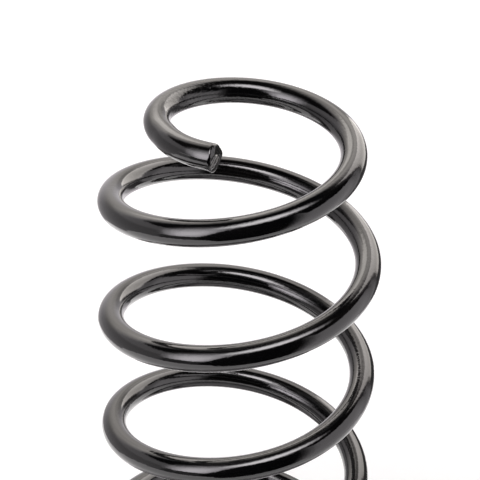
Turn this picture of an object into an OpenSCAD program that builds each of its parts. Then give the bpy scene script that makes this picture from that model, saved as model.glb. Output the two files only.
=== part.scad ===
// Coil spring of round wire, right-hand wound, standing on its lower end.
// The upper end is a small pigtail coil and the lower end is a closed flat coil of full diameter.
// Z is the coil axis and Z = 0 is the plane that the lower coil rests on.

/* [Wire] */
// Diameter of the round wire
wire_d = 12; // [8:0.5:16]
// Flats that stand for the round wire, laid so that one of them faces straight down
wire_sides = 16; // [12:4:24]
// Cross sections along one turn
rings_per_turn = 40; // [24:4:44]

/* [Body coils] */
// Mean diameter of the body coils, between wire centres
body_d = 120; // [100:2:160]
// Rise of one body coil, between wire centres
body_pitch = 61; // [40:1:80]
// Turns of wire from one cut end to the other
turns = 6.25; // [5:0.25:8]

/* [Pigtail] */
// Mean diameter of the small upper end, between wire centres
pigtail_d = 71; // [56:1:90]
// Angle from the upper end over which the pigtail keeps its small diameter
pigtail_round_deg = 53; // [0:1:90]
// Angle over which the pigtail then widens to the body diameter
pigtail_widen_deg = 480; // [360:10:540]
// Angle from the upper end over which the pitch grows from nothing to the body pitch
upper_ease_deg = 416; // [300:2:540]
// Direction of the upper end about the axis, counted from the right-hand side
upper_end_deg = -106; // [-180:1:180]

/* [Closed lower coil] */
// Clear gap between the wire's lower end and the coil that passes above it
closed_gap = 3; // [1:0.5:6]
// Angle over which the wire lifts off the flat coil into the body pitch
lower_ease_deg = 70; // [40:5:100]

/* [Sheared ends] */
// Slope of the two sheared faces, which meet in a ridge across the wire's end
shear_slope = 9; // [4:1:25]
// Direction of the ridge's outer end about the wire, counted up from level
ridge_outer_deg = 33.75; // [20:1.25:45]
// Direction of the ridge's inner end about the wire, counted the same way
ridge_inner_deg = 191.25; // [175:1.25:205]
// Lean of the ridge, which reaches furthest at its inner end
ridge_lean = 7; // [0:1:15]

/* [Hidden] */
wire_r = wire_d / 2;
// The flats touch the round wire, so that sizes measured over them are the real ones.
corner_r = wire_r / cos(180 / wire_sides);
body_r = body_d / 2;
pigtail_r = pigtail_d / 2;
total_deg = 360 * turns;
rise_per_deg = body_pitch / 360;
// One turn above the lower end the wire has risen by its own diameter and the gap.
closed_deg = 360 - lower_ease_deg / 2 - (wire_d + closed_gap) / rise_per_deg;
coiled_height = rise_per_deg * (total_deg - upper_ease_deg / 2 - closed_deg - lower_ease_deg / 2);
steps = round(turns * rings_per_turn);
// Small step down the wire, over which its direction is taken
probe_deg = 0.01;
// Corners of a cross section that lie above the ridge, and the corner that it starts from
corners_above = round(wire_sides * (ridge_inner_deg - ridge_outer_deg) / 360);
first_corner = round(wire_sides * ridge_outer_deg / 360 - 0.5);

function unit(v) = v / norm(v);
function clamp01(t) = min(max(t, 0), 1);
// Area under a smooth step from 0 to 1, which stays at 1 past t = 1
function step_area(t) = t <= 0 ? 0 : t < 1 ? pow(t, 3) - pow(t, 4) / 2 : t - 1 / 2;

// The wire's centreline at angle a, counted down the wire from its upper end
function coil_r(a) =
    pigtail_r + (body_r - pigtail_r) * sin(90 * clamp01((a - pigtail_round_deg) / pigtail_widen_deg));
function upper_drop(a) = rise_per_deg * upper_ease_deg * step_area(a / upper_ease_deg);
function lower_rise(b) = rise_per_deg * lower_ease_deg * step_area((b - closed_deg) / lower_ease_deg);
function coil_z(a) =
    wire_r + (a < total_deg / 2 ? coiled_height - upper_drop(a) : lower_rise(total_deg - a));
function centre(a) = let (turned = upper_end_deg - a)
    [coil_r(a) * cos(turned), coil_r(a) * sin(turned), coil_z(a)];

// Axes of the wire there: down along it, level and away from the coil axis, and upwards
function along(a) = unit(centre(a + probe_deg) - centre(a - probe_deg));
function outward(a) = unit(cross([0, 0, 1], along(a)));
function upward(a) = cross(along(a), outward(a));

// A cross section of the wire: its corners, counted from the outward direction upwards
function corner_deg(k) = 360 * (k + 0.5) / wire_sides;
function ring(a) = [for (k = [0 : wire_sides - 1]) let (w = corner_deg(k))
    centre(a) + corner_r * (cos(w) * outward(a) + sin(w) * upward(a))];

// The same corners on a sheared end, where two of them are moved to the ends of the ridge.
// The sign way is -1 at the upper end and 1 at the lower one, whose face looks the other way.
function end_corner_deg(k) =
    let (i = (k - first_corner + wire_sides) % wire_sides, above_deg = ridge_inner_deg - ridge_outer_deg)
    i <= corners_above
        ? ridge_outer_deg + above_deg * i / corners_above
        : ridge_inner_deg + (360 - above_deg) * (i - corners_above) / (wire_sides - corners_above);
function end_ring(a, way) =
    let (tilt = (ridge_outer_deg + ridge_inner_deg) / 2 - 90,
        height = corner_r * cos((ridge_inner_deg - ridge_outer_deg) / 2))
    [for (k = [0 : wire_sides - 1])
        let (w = end_corner_deg(k),
            off_ridge = abs(corner_r * sin(w - tilt) - height),
            reach = -corner_r * cos(w - tilt) * tan(ridge_lean) - off_ridge * tan(shear_slope))
        centre(a) + corner_r * (cos(w) * outward(a) + sin(w) * upward(a)) + way * reach * along(a)];

// The two flat faces of a sheared end, whose corners start at number base
function end_faces(base, way) =
    let (corners = [for (i = [0 : wire_sides]) base + (first_corner + i) % wire_sides],
        above = [for (i = [0 : corners_above]) corners[i]],
        below = [for (i = [corners_above : wire_sides]) corners[i]])
    [for (face = [above, below]) way > 0 ? reversed(face) : face];
function reversed(list) = [for (i = [len(list) - 1 : -1 : 0]) list[i]];

module coil_spring() {
    rings = [for (i = [0 : steps]) let (a = total_deg * i / steps)
        i == 0 ? end_ring(a, -1) : i == steps ? end_ring(a, 1) : ring(a)];
    walls = [for (i = [0 : steps - 1], k = [0 : wire_sides - 1])
        let (p = i * wire_sides + k, q = i * wire_sides + (k + 1) % wire_sides)
        each [[p, q + wire_sides, q], [p, p + wire_sides, q + wire_sides]]];
    color("#1b1c1e")
        polyhedron([for (r = rings, p = r) p],
            concat(end_faces(0, -1), walls, end_faces(steps * wire_sides, 1)));
}

coil_spring();
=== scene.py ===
"""A suspension coil spring of round wire, painted gloss black.

Its upper end is a small pigtail coil and its lower end a closed flat coil, both sheared off.
"""

import math
from itertools import accumulate

import bmesh
import bpy
from mathutils import Matrix, Vector, noise


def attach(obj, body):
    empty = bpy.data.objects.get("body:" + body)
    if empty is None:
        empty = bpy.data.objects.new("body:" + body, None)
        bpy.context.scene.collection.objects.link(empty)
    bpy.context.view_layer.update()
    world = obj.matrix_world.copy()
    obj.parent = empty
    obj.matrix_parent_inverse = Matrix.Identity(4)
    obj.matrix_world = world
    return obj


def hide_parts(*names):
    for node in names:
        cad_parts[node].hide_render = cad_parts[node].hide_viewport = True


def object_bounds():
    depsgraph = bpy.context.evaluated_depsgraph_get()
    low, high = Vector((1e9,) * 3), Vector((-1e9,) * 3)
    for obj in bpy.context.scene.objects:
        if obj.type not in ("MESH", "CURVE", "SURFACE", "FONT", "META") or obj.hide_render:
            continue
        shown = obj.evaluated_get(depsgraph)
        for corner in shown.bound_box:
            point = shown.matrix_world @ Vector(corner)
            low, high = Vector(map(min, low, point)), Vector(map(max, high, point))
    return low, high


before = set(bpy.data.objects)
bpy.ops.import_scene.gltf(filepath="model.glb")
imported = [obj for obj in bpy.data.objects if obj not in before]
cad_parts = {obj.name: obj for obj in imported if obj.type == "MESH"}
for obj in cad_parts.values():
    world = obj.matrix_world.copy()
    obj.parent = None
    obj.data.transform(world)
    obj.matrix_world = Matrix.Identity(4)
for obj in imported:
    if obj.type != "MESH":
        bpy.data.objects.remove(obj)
cad_low, cad_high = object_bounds()

# The spring
# One length of 12 mm spring steel wire, wound right-handed into a pigtail, body coils and a closed
# flat coil that it stands on. It is sheared off at both ends and painted gloss black.

# Lengths are in metres. Angles along the wire are in degrees, counted down from its upper end.
wire_radius = 0.006
body_radius = (cad_high.x - cad_low.x) / 2 - wire_radius
free_length = cad_high.z - cad_low.z
pigtail_radius = 0.0355
pitch = 0.061
rise_per_degree = pitch / 360
turns = 6.25
wire_end = 360 * turns
# The pigtail keeps its radius, then widens. The pitch grows over the upper ease and goes again over
# the lower one.
round_turn, widening_turn, upper_ease, lower_ease = 53, 480, 416, 70
coiled_height = free_length - 2 * wire_radius
closed_turn = wire_end - (upper_ease + lower_ease) / 2 - coiled_height / rise_per_degree
upper_end_way = -106
# Small step along the wire, over which its direction is taken
probe = 0.05


def ease_area(t):
    """The area under a smooth step from 0 to 1, which stays at 1 past t = 1."""
    return 0 if t <= 0 else t**3 - t**4 / 2 if t < 1 else t - 0.5


def wire_centre(turn):
    """The wire's centre at an angle down the wire."""
    widened = min(max((turn - round_turn) / widening_turn, 0), 1)
    radius = pigtail_radius + (body_radius - pigtail_radius) * math.sin(math.pi / 2 * widened)
    if turn < wire_end / 2:
        drop = rise_per_degree * upper_ease * ease_area(turn / upper_ease)
        height = coiled_height - drop
    else:
        past_closed = (wire_end - turn - closed_turn) / lower_ease
        height = rise_per_degree * lower_ease * ease_area(past_closed)
    way = math.radians(upper_end_way - turn)
    return Vector((radius * math.cos(way), radius * math.sin(way), height + wire_radius))


def coil_radius(turn):
    """How far the wire's centre is from the coil's axis at an angle down the wire."""
    return (wire_centre(turn) * Vector((1, 1, 0))).length


def wire_frame(turn):
    """The wire's own axes at an angle down it: X outward, Y up and Z down the wire."""
    along = (wire_centre(turn + probe) - wire_centre(turn - probe)).normalized()
    outward = Vector((0, 0, 1)).cross(along).normalized()
    axes = Matrix((outward, along.cross(outward), along)).transposed().to_4x4()
    return Matrix.Translation(wire_centre(turn)) @ axes


# The wire is a sheet that is rolled up. Each row of it has an angle down the wire, a radius, and
# how far the sheared end still pulls it. The first and last rows are the end faces, from their
# middles out. A rounded rim and a stretch that is pulled less and less lead to the plain wire.
sides = 96
step = 3
face_rows, rim_rows, pulled_rows = 44, 6, 12
rim = 0.0004
pulled = 0.008


def end_rows(turn, way):
    """The rows of one end and the angle at which the wire is plain, way = 1 being down it."""
    degree = math.radians(1) * coil_radius(turn)
    rows = [(turn, (wire_radius - rim) * i / face_rows, 1) for i in range(face_rows)]
    for i in range(rim_rows):
        bend = math.pi / 2 * i / rim_rows
        back = rim * (1 - math.cos(bend))
        rows.append((turn + way * back / degree, wire_radius - rim + rim * math.sin(bend), 1))
    for i in range(pulled_rows):
        back = rim + (pulled - rim) * i / pulled_rows
        rows.append((turn + way * back / degree, wire_radius, 1 - i / pulled_rows))
    return rows, turn + way * pulled / degree


upper_rows, first_plain = end_rows(0, 1)
lower_rows, last_plain = end_rows(wire_end, -1)
plain_steps = round((last_plain - first_plain) / step)
plain_rows = [
    (first_plain + (last_plain - first_plain) * i / plain_steps, wire_radius, 0)
    for i in range(plain_steps + 1)
]
rows = upper_rows + plain_rows + lower_rows[::-1]
last_row = len(rows) - 1
# From each row to the next, along the wire's middle and over its skin, then both from the first row
down_wire = [(wire_centre(b[0]) - wire_centre(a[0])).length for a, b in zip(rows, rows[1:])]
over_skin = [math.hypot(down, b[1] - a[1]) for down, a, b in zip(down_wire, rows, rows[1:])]
down_wire = list(accumulate(down_wire, initial=0))
over_skin = list(accumulate(over_skin, initial=0))


def rising(start, end, value):
    """0 up to start, 1 from end on, and a smooth rise between them."""
    share = min(max((value - start) / (end - start), 0), 1)
    return share * share * (3 - 2 * share)


def lump(distance, width):
    """1 at distance 0, falling smoothly to 0 at the width on either side."""
    return 1 - rising(0, width, abs(distance))


# The blades left two slopes that meet in a leaning ridge. The upper slope is broken steel and the
# lower one has a smooth oval with a groove round it. The rim is chipped, squashed and torn. Lengths
# are in millimetres here and ways about the wire in degrees, 0 being outward and 90 up.
ridge_tilt, ridge_height = math.radians(22.5), 1.19
shear_slope, ridge_lean = math.tan(math.radians(9)), math.tan(math.radians(7))
oval_x, oval_y, oval_width, oval_height = 1.7, -1.35, 4, 3
oval_step, streak_depth = 0.22, 0.03
# Where these lie from the oval's middle, 1 being its rim, and how wide and deep the groove is
oval_flat, groove_middle, broken_middle = 0.86, 1.1, 1.12
groove_width, groove_depth = 0.2, 0.3
# Each chip is a plane: its way, how far from the wire's middle it starts, and its slope.
chips = [
    (52, 3.9, 0.55),
    (24, 5.1, 1.1),
    (2, 5.42, 1.9),
    (-25, 5.45, 1.3),
    (-50, 5.4, 0.9),
    (92, 5.35, 1.3),
]
# Each dent has a place, a width and a depth.
dents = [(2.7, -2.2, 0.9, 0.14), (4.4, 1.2, 0.8, 0.3)]
# The rim stands out or in by a height round each of these ways, within a width. The first is the
# burr.
bulges = [(-82, 48, 0.75), (142, 40, -0.6), (222, 36, -0.45)]


def off_ridge(x, y):
    """How far a place lies above the ridge."""
    return y * math.cos(ridge_tilt) - x * math.sin(ridge_tilt) - ridge_height


def off_oval(x, y):
    """How far a place lies from the oval's middle, 1 being its rim."""
    return math.hypot((x - oval_x) / oval_width, (y - oval_y) / oval_height)


def in_oval(x, y):
    """1 on the smooth oval and 0 outside it."""
    return 1 - rising(oval_flat, 1, off_oval(x, y))


def streaks(x, y):
    """The wavy lines that lie slantwise over the oval, from -1 to 1."""
    across_streaks = x * 0.67 + y * 0.74 - 0.15
    return -math.cos(2.5 * across_streaks + 1.5 * noise.noise((x * 0.7, y * 0.7, 3)))


def chipped(x, y):
    """How deep the chips are at a place, or less than 0 inside them all."""
    ragged = 0.3 * noise.noise((x * 0.8, y * 0.8, 3))
    depths = []
    for way, distance, slope in chips:
        way = math.radians(way)
        depths.append(slope * (x * math.cos(way) + y * math.sin(way) - distance + ragged))
    return max(depths)


def broken(x, y):
    """1 where the steel broke, above the ridge and round the oval but not in a chip, or else 0."""
    round_oval = lump(off_oval(x, y) - broken_middle, groove_width)
    torn_face = max(rising(0.1, 0.5, off_ridge(x, y)), round_oval)
    return torn_face * (1 - rising(-0.15, 0, chipped(x, y)))


def sheared(x, y):
    """How far an end's face stands out at a place across the wire, x being outward and y up."""
    along_ridge = x * math.cos(ridge_tilt) + y * math.sin(ridge_tilt)
    out = -abs(off_ridge(x, y)) * shear_slope - along_ridge * ridge_lean - max(chipped(x, y), 0)
    rough = 0.2 * noise.noise((x * 0.6, y * 0.6, 7)) + 0.09 * noise.noise((x * 1.5, y * 1.5, 1))
    raised = in_oval(x, y) * (oval_step + streak_depth * streaks(x, y))
    groove = groove_depth * lump(off_oval(x, y) - groove_middle, groove_width)
    out += broken(x, y) * rough + raised - groove
    for dent_x, dent_y, width, depth in dents:
        out -= depth * lump(math.hypot(x - dent_x, y - dent_y), width)
    return out


def bulged(x, y, side):
    """How far the rim stands out from the round wire, side = -1 turning it upside down."""
    ragged = 1 + 0.5 * noise.noise((x * 1.5, y * 1.5, 5))
    way = math.degrees(math.atan2(y * side, x))
    out = 0
    for middle, width, height in bulges:
        out += height * lump((way - middle + 180) % 360 - 180, width)
    return out * ragged * rising(4, 6, math.hypot(x, y))


def made_object(name, mesh):
    """An object at the origin, made of a finished bmesh."""
    data = bpy.data.meshes.new(name)
    mesh.to_mesh(data)
    mesh.free()
    made = bpy.data.objects.new(name, data)
    bpy.context.collection.objects.link(made)
    return made


spring_mesh = bmesh.new()
wire_uv = spring_mesh.loops.layers.uv.new("wire")
straight_layer = spring_mesh.verts.layers.float_vector.new("straight_wire")
broken_layer = spring_mesh.verts.layers.float.new("broken_steel")
thin_layer = spring_mesh.verts.layers.float.new("thin_paint")
bmesh.ops.create_grid(
    spring_mesh, x_segments=sides, y_segments=last_row, size=1, calc_uvs=True
)
for face in spring_mesh.faces:
    for loop in face.loops:
        u, v = loop[wire_uv].uv
        loop[wire_uv].uv = (u * 2 * math.pi * wire_radius, over_skin[round(v * last_row)])
frames = [wire_frame(turn) for turn, radius, pull in rows]
for vert in spring_mesh.verts:
    row = round((vert.co.y + 1) / 2 * last_row)
    turn, radius, pull = rows[row]
    around = math.pi * (vert.co.x + 0.5)
    x, y = radius * math.cos(around), radius * math.sin(around)
    vert[straight_layer] = Vector((x, y, down_wire[row]))
    if not pull:
        vert.co = frames[row] @ Vector((x, y, 0))
        continue
    down = -1 if turn < wire_end / 2 else 1
    across, up = x * 1000, y * 1000
    reach = down * pull * sheared(across, up) / 1000
    vert[straight_layer].z += reach
    reached_turn = turn + reach / (coil_radius(turn) + x) / math.radians(1)
    flared = 1 + bulged(across, up, -down) * pull**4 / 1000 / wire_radius
    vert.co = wire_frame(reached_turn) @ Vector((x * flared, y * flared, 0))
    if pull == 1:
        burr = rising(0.5, 0.7, bulged(across, up, -down))
        vert[broken_layer] = broken(across, up)
        vert[thin_layer] = max(in_oval(across, up) * (0.5 + 0.4 * streaks(across, up)), burr)
bmesh.ops.remove_doubles(spring_mesh, verts=spring_mesh.verts, dist=1e-7)
bmesh.ops.recalc_face_normals(spring_mesh, faces=spring_mesh.faces)
for face in spring_mesh.faces:
    face.smooth = True
    face.material_index = round(sum(vert[broken_layer] for vert in face.verts) / len(face.verts))
spring_mesh.verts.layers.float.remove(broken_layer)
spring = made_object("wound_wire", spring_mesh)
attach(spring, "root")
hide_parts("coil_spring")


class Level:
    """A level that changes over a surface: one socket of a finish, on which sums are written."""

    def __init__(self, finish, socket):
        self.finish, self.socket = finish, socket

    def maths(self, operation, *terms):
        numbers = {place: term for place, term in enumerate(terms)}
        return self.finish.node("ShaderNodeMath", {"operation": operation}, numbers)[0]

    def __add__(self, other):
        return self.maths("ADD", self, other)

    def __sub__(self, other):
        return self.maths("SUBTRACT", self, other)

    def __rsub__(self, other):
        return self.maths("SUBTRACT", other, self)

    def __mul__(self, other):
        return self.maths("MULTIPLY", self, other)

    def __pow__(self, other):
        return self.maths("POWER", self, other)

    def __abs__(self):
        return self.maths("ABSOLUTE", self)

    def rise(self, start, end):
        """0 up to start, 1 from end on, and a smooth rise between them."""
        smooth = {"interpolation_type": "SMOOTHSTEP"}
        return self.finish.node("ShaderNodeMapRange", smooth, {0: self, 1: start, 2: end})[0]

    __radd__ = __add__
    __rmul__ = __mul__


class Finish:
    """The nodes of a material, a lamp or the world."""

    def __init__(self, owner):
        owner.use_nodes = True
        self.tree = owner.node_tree
        self.tree.nodes.clear()

    def node(self, kind, settings={}, values={}):
        """Add a node, give it its settings, then its values or links, and hand back its sockets."""
        node = self.tree.nodes.new(kind)
        for name, value in settings.items():
            setattr(node, name, value)
        for name, value in values.items():
            if isinstance(value, Level):
                self.tree.links.new(value.socket, node.inputs[name])
            else:
                node.inputs[name].default_value = value
        return Outlets(self, node)

    def mixed(self, share, first, second):
        """The first colour where the share is 0 and the second where it is 1.

        A Mix node takes its two colours at sockets 6 and 7, and gives theirs at socket 2.
        """
        values = {"Factor": share, 6: first, 7: second}
        return self.node("ShaderNodeMix", {"data_type": "RGBA"}, values)[2]


class Outlets:
    """What comes out of a node, by name or by place."""

    def __init__(self, finish, node):
        self.finish, self.node = finish, node

    def __getitem__(self, name):
        return Level(self.finish, self.node.outputs[name])


black, dusty = (0.002, 0.002, 0.0022, 1), (0.0045, 0.0042, 0.004, 1)
steel = (0.42, 0.41, 0.4, 1)


def black_paint(name, roughness, ior, coat, pit_depth):
    """Black paint over steel, which shines through where the attribute thin_paint says.

    The attribute straight_wire gives each place on the wire as if it were straight, its Z being the
    way down from the upper end. Sizes and depths are in metres.
    """
    material = bpy.data.materials.new(name)
    paint = Finish(material)
    straight = paint.node("ShaderNodeAttribute", {"attribute_name": "straight_wire"})["Vector"]
    thin = paint.node("ShaderNodeAttribute", {"attribute_name": "thin_paint"})["Fac"]

    def grain(across, along, detail):
        """Noise whose lumps have this size across the wire and along it."""
        sizes = {0: straight, 1: (across, across, along)}
        place = paint.node("ShaderNodeVectorMath", {"operation": "DIVIDE"}, sizes)["Vector"]
        values = {"Vector": place, "Scale": 1, "Detail": detail}
        return paint.node("ShaderNodeTexNoise", {}, values)[0]

    # The peel is stronger in a patch of the pigtail.
    down = paint.node("ShaderNodeSeparateXYZ", {}, {0: straight})["Z"]
    rippled = down.rise(0.04, 0.065) * (1 - down.rise(0.085, 0.12))
    coarse_peel = grain(0.0015, 0.002, 1) * (7e-5 + 2e-4 * rippled)
    fine_peel = grain(0.0006, 0.0008, 1) * (1e-5 + 9e-5 * rippled)
    drawn_lines = grain(0.0007, 0.03, 2) * 3e-5
    pits = grain(0.0006, 0.0006, 3) * pit_depth
    height = coarse_peel + fine_peel + drawn_lines + pits
    relief = paint.node("ShaderNodeBump", {}, {"Height": height, "Distance": 1})["Normal"]
    cloudy = grain(0.006, 0.04, 3)
    coat_of_paint = paint.mixed(cloudy.rise(0.4, 0.8), black, dusty)
    gloss = paint.node(
        "ShaderNodeBsdfPrincipled",
        {},
        {
            "Base Color": paint.mixed(thin, coat_of_paint, steel),
            "Roughness": roughness + 0.06 * cloudy.rise(0.35, 0.75),
            "IOR": ior,
            "Coat Weight": coat,
            "Coat Roughness": 0.08,
            "Normal": relief,
        },
    )
    paint.node("ShaderNodeOutputMaterial", {}, {"Surface": gloss[0]})
    return material


for finish in [
    black_paint("gloss_black_paint", roughness=0.04, ior=1.5, coat=1, pit_depth=0),
    black_paint("paint_on_broken_steel", roughness=0.4, ior=1.25, coat=0, pit_depth=3e-4),
]:
    spring.data.materials.append(finish)

# The floor
# A wide sheet of matt white board, laid flat under the spring. It is shown white, to the camera and
# in the gloss, and still takes the spring's shadow.


def seen_in(finish):
    """1 for rays from the camera and the gloss, and 0 for the light that falls on things."""
    ray = finish.node("ShaderNodeLightPath")
    return ray["Is Camera Ray"] + ray["Is Glossy Ray"] + ray["Is Transmission Ray"]


floor_reach = 6
board_grey = (0.58, 0.58, 0.58, 1)
# The lamps light the board near the spring, so there it needs less help to show white.
front_lift, more_behind, far_lift = 0.36, 0.2, 0.95
floor_mesh = bmesh.new()
bmesh.ops.create_grid(floor_mesh, x_segments=1, y_segments=1, size=floor_reach)
floor = made_object("floor", floor_mesh)
board_material = bpy.data.materials.new("white_board")
board = Finish(board_material)
matt = board.node("ShaderNodeBsdfDiffuse", {}, {"Color": board_grey})
place = board.node("ShaderNodeTexCoord")["Object"]
from_spring = board.node("ShaderNodeVectorMath", {"operation": "LENGTH"}, {0: place})["Value"]
back = board.node("ShaderNodeSeparateXYZ", {}, {0: place})["Y"]
near = front_lift + more_behind * back.rise(-0.1, 0.25)
lifted = near + (far_lift - near) * from_spring.rise(0.2, 1.6)
strength = seen_in(board) * lifted
lift = board.node("ShaderNodeEmission", {}, {"Color": (1, 1, 1, 1), "Strength": strength})
both = board.node("ShaderNodeAddShader", {}, {0: matt[0], 1: lift[0]})
board.node("ShaderNodeOutputMaterial", {}, {"Surface": both[0]})
floor.data.materials.append(board_material)

# The cards
# Boards in a ring round the spring, black in front, white to the right and grey to the left. They
# stand in front and beside it and lie back behind it. A grey disc lies under it as painted shadow,
# the spring's shade on the floor as the gloss would mirror it. Only the gloss sees them.

# Compass ways are in degrees, 0 being towards the camera and 90 to the right. Past each stretch of
# ways the studio has a new level, and the first level is the one straight behind.
behind_level = 0.7
new_levels = [
    (-173, -137, 0.36),
    (-63, -57, 0.13),
    (-33, -26, 0),
    (37, 57, 0.93),
    (95, 110, 0.5),
    (118, 126, 0.08),
    (150, 158, 0.5),
    (164, 173, 0.72),
]


def card_level(compass):
    """How bright the studio is at a compass way."""
    level = last = behind_level
    for start, end, new in new_levels:
        level = level + (new - last) * compass.rise(start, end)
        last = new
    return level


def compass_way(right, back):
    """The compass way of a place this far to the right and this far back."""
    return right.maths("ARCTAN2", right, 0 - back) * (180 / math.pi)


def round_spring(way, distance, height):
    """A place at a compass way from the spring."""
    way = math.radians(way)
    return (distance * math.sin(way), -distance * math.cos(way), height)


ring_radius, ring_height, ring_x, ring_y = 0.43, 0.2, -0.03, 0.13
first_standing, last_standing = -100, 112
# Up to each compass way the standing cards have this height. After the last they slope upwards.
card_tops = [(-76, 0.3), (-20, 0.25), (46, 0.5)]
slope_way, slope_top, slope_per_degree = 50, 0.37, 0.0026
lying_reach, lying_top = 2, 0.25
# The grey disc under the spring is painted shadow: it stands for the spring's shade on the floor.
under_radius, under_height, under_shade_level = 0.13, 0.0005, 0.45
rosy_white = (1.05, 1, 1.03)


def card_top(facing):
    """How high the standing cards are at a compass way."""
    for end, height in card_tops:
        if facing < end:
            return height
    return slope_top + slope_per_degree * (facing - slope_way)


card_mesh = bmesh.new()
bmesh.ops.create_cone(
    card_mesh,
    segments=72,
    radius1=ring_radius,
    radius2=ring_radius,
    depth=ring_height,
    cap_ends=False,
)
for vert in card_mesh.verts:
    top = vert.co.z > 0
    vert.co += Vector((ring_x, ring_y, ring_height / 2))
    facing = math.degrees(math.atan2(vert.co.x, -vert.co.y))
    if first_standing < facing < last_standing:
        vert.co *= 1 + 0.7 * rising(-95, -75, facing) * (1 - rising(-25, -10, facing))
        if top:
            vert.co.z = card_top(facing)
    elif top:
        vert.co = Vector(round_spring(facing, lying_reach, lying_top))
    else:
        vert.co *= 0.72 - 0.2 * rising(145, 160, abs(facing))
# The disc under the spring, seen only in the gloss, is painted shadow.
under_spring = Matrix.Translation((0, 0, under_height))
bmesh.ops.create_circle(
    card_mesh, cap_ends=True, segments=48, radius=under_radius, matrix=under_spring
)
cards = made_object("cards", card_mesh)
cards.visible_camera = cards.visible_diffuse = cards.visible_shadow = False
card_material = bpy.data.materials.new("cards")
card = Finish(card_material)
place = card.node("ShaderNodeSeparateXYZ", {}, {0: card.node("ShaderNodeTexCoord")["Object"]})
squared = place["X"] ** 2 + place["Y"] ** 2
in_ring = squared.rise(under_radius**2, 1.1 * under_radius**2)
# Inside the disc under the spring the level drops to that of the painted shadow.
level = in_ring * card_level(compass_way(place["X"], place["Y"])) + under_shade_level * (1 - in_ring)
card_light = card.node("ShaderNodeEmission", {}, {"Color": (*rosy_white, 1), "Strength": level})
card.node("ShaderNodeOutputMaterial", {}, {"Surface": card_light[0]})
cards.data.materials.append(card_material)

# The light
# Four softboxes on stands: a large oval one overhead, a leaning one at the front left, and two
# behind, a sharp-edged one to the right and a faint one to the left. Each fades towards its rim.

warm_white = (1.06, 1, 0.95)
# Where the fade would end, in shares of the way from a box's middle to its rim
fade_end = 1.02


def softbox(name, shape, middle, faces, width, height, level, colour, fade, turn=0):
    """A panel of light that faces a place and is turned about its own middle, in degrees.

    Its level is against white = 1 and falls off towards its rim over the share fade.
    """
    lamp = bpy.data.lights.new(name, "AREA")
    lamp.shape, lamp.size, lamp.size_y = shape, width, height
    lamp.energy = level * math.pi * width * height * (math.pi / 4 if shape == "ELLIPSE" else 1)
    panel = Finish(lamp)
    across = panel.node("ShaderNodeNewGeometry")["Parametric"]
    place = panel.node("ShaderNodeSeparateXYZ", {}, {0: across})
    u, v = abs(place["X"] * 2 - 1), abs(place["Y"] * 2 - 1)
    if shape == "ELLIPSE":
        strength = 1 - ((u * u + v * v) ** 0.5).rise(1 - fade, fade_end)
    else:
        strength = (1 - u.rise(1 - fade, fade_end)) * (1 - v.rise(1 - fade, fade_end))
    light = panel.node("ShaderNodeEmission", {}, {"Color": (*colour, 1), "Strength": strength})
    panel.node("ShaderNodeOutputLight", {}, {"Surface": light[0]})
    stand = bpy.data.objects.new(name, lamp)
    middle = Vector(middle)
    facing = (middle - Vector(faces)).to_track_quat("Z", "Y").to_matrix().to_4x4()
    turned = Matrix.Rotation(math.radians(turn), 4, "Z")
    stand.matrix_world = Matrix.Translation(middle) @ facing @ turned
    bpy.context.collection.objects.link(stand)


softbox(
    "overhead",
    "ELLIPSE",
    middle=(0.1, -0.49, 1.3),
    faces=(0.1, -0.49, 0),
    width=1.6,
    height=0.82,
    level=6.6,
    colour=(1.04, 1, 1.02),
    fade=0.8,
    turn=27,
)
softbox(
    "front_left",
    "RECTANGLE",
    middle=round_spring(-41.7, 0.85, 0.53),
    faces=(0, 0, -0.25),
    width=0.9,
    height=1.57,
    level=4.3,
    colour=(1.05, 1, 1.05),
    fade=0.9,
)
softbox(
    "back_right",
    "RECTANGLE",
    middle=(0.386, 0.6, 0.613),
    faces=(0, 0.558, 0.613),
    width=0.744,
    height=0.814,
    level=1.65,
    colour=warm_white,
    fade=0.16,
)
softbox(
    "back_left",
    "RECTANGLE",
    middle=round_spring(-163, 1.04, 1.16),
    faces=round_spring(-163, 0, 1.36),
    width=0.57,
    height=1.06,
    level=1.44,
    colour=(1.05, 1, 0.95),
    fade=0.6,
)

# The walls
# Far painted walls close the studio in: pale beside and behind, brighter in a band high up behind,
# and black overhead and in front. The gloss mirrors them, and the camera looks through them.

wall_distance = 20
wall_mesh = bmesh.new()
bmesh.ops.create_uvsphere(wall_mesh, u_segments=24, v_segments=12, radius=wall_distance)
studio_walls = made_object("walls", wall_mesh)
studio_walls.visible_camera = False
wall_material = bpy.data.materials.new("walls")
wall = Finish(wall_material)
place = wall.node("ShaderNodeTexCoord")["Object"]
direction = wall.node("ShaderNodeVectorMath", {"operation": "NORMALIZE"}, {0: place})["Vector"]
direction = wall.node("ShaderNodeSeparateXYZ", {}, {0: direction})
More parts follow.
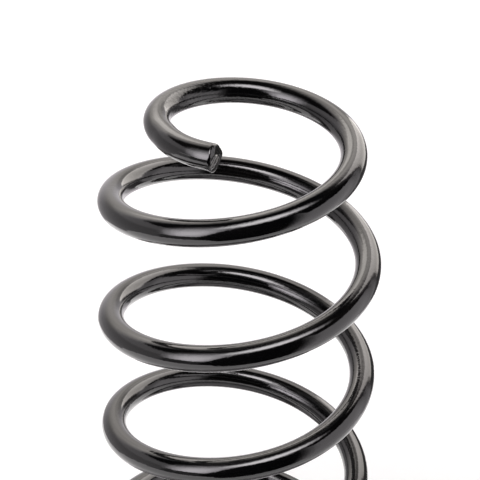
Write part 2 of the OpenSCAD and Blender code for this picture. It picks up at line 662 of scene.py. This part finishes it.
# The way up the walls is 0 at the horizon and 1 overhead.
compass, up = compass_way(direction["X"], direction["Y"]), direction["Z"]
left_wall = compass.rise(-158, -148) * (1 - compass.rise(-70, -60))
right_wall = compass.rise(20, 40) * (1 - compass.rise(112, 118))
walls = card_level(compass) * (1 - up.rise(0.26, 0.36) * right_wall)
walls = walls * (1 - up.rise(0.45, 0.55) * (1 - left_wall))
walls = walls + 0.2 * left_wall * up.rise(0.25, 0.4)
walls = walls * (1 - up.rise(0.6, 0.66))
behind_left, behind_right = (0 - compass).rise(119, 148), compass.rise(107, 177)
left_band = (0.53 * up.rise(0.15, 0.51) + 0.7 * up.rise(0.43, 0.72)) * (1 - up.rise(0.8, 0.98))
right_band = (0.75 * up.rise(0.36, 0.48) + 0.8 * up.rise(0.47, 0.57)) * (1 - up.rise(0.72, 0.88))
walls = walls + behind_left * left_band + behind_right * right_band
warmer = (behind_left + behind_right) * up.rise(0, 0.3)
tint = wall.mixed(warmer, (*rosy_white, 1), (*warm_white, 1))
wall_light = wall.node("ShaderNodeEmission", {}, {"Color": tint, "Strength": walls})
wall.node("ShaderNodeOutputMaterial", {}, {"Surface": wall_light[0]})
studio_walls.data.materials.append(wall_material)

# The backdrop
# White paper hung beyond the walls, which closes the view off above the floor. It shows white to
# the camera and lights nothing.

world = bpy.data.worlds.new("studio")
bpy.context.scene.world = world
studio = Finish(world)
shown = {"Color": (1, 1, 1, 1), "Strength": seen_in(studio)}
backdrop = studio.node("ShaderNodeBackground", {}, shown)
studio.node("ShaderNodeOutputWorld", {}, {"Surface": backdrop[0]})

# The camera
# A camera on a stand, three quarters of a metre from the upper coils. It looks down on them at 29
# degrees, as in the photograph, and leans by a little under one degree.

# It is aimed this far right of the coil's axis and below the pigtail's centreline.
aim_right, aim_below = 0.00042, 0.05906
aim = Vector((aim_right, 0, free_length - wire_radius - aim_below))
distance, elevation, roll = 0.7632, math.radians(29.20), math.radians(0.80)
image_width, focal_pixels, sensor_width = 480, 1655.4, 36
camera_data = bpy.data.cameras.new("camera")
camera_data.sensor_width = sensor_width
camera_data.lens = sensor_width * focal_pixels / image_width
camera = bpy.data.objects.new("camera", camera_data)
bpy.context.collection.objects.link(camera)
camera.matrix_world = (
    Matrix.Translation(aim)
    @ Matrix.Rotation(math.pi / 2 - elevation, 4, "X")
    @ Matrix.Rotation(roll, 4, "Z")
    @ Matrix.Translation((0, 0, distance))
)
bpy.context.scene.camera = camera
bpy.context.scene.view_settings.view_transform = "Standard"
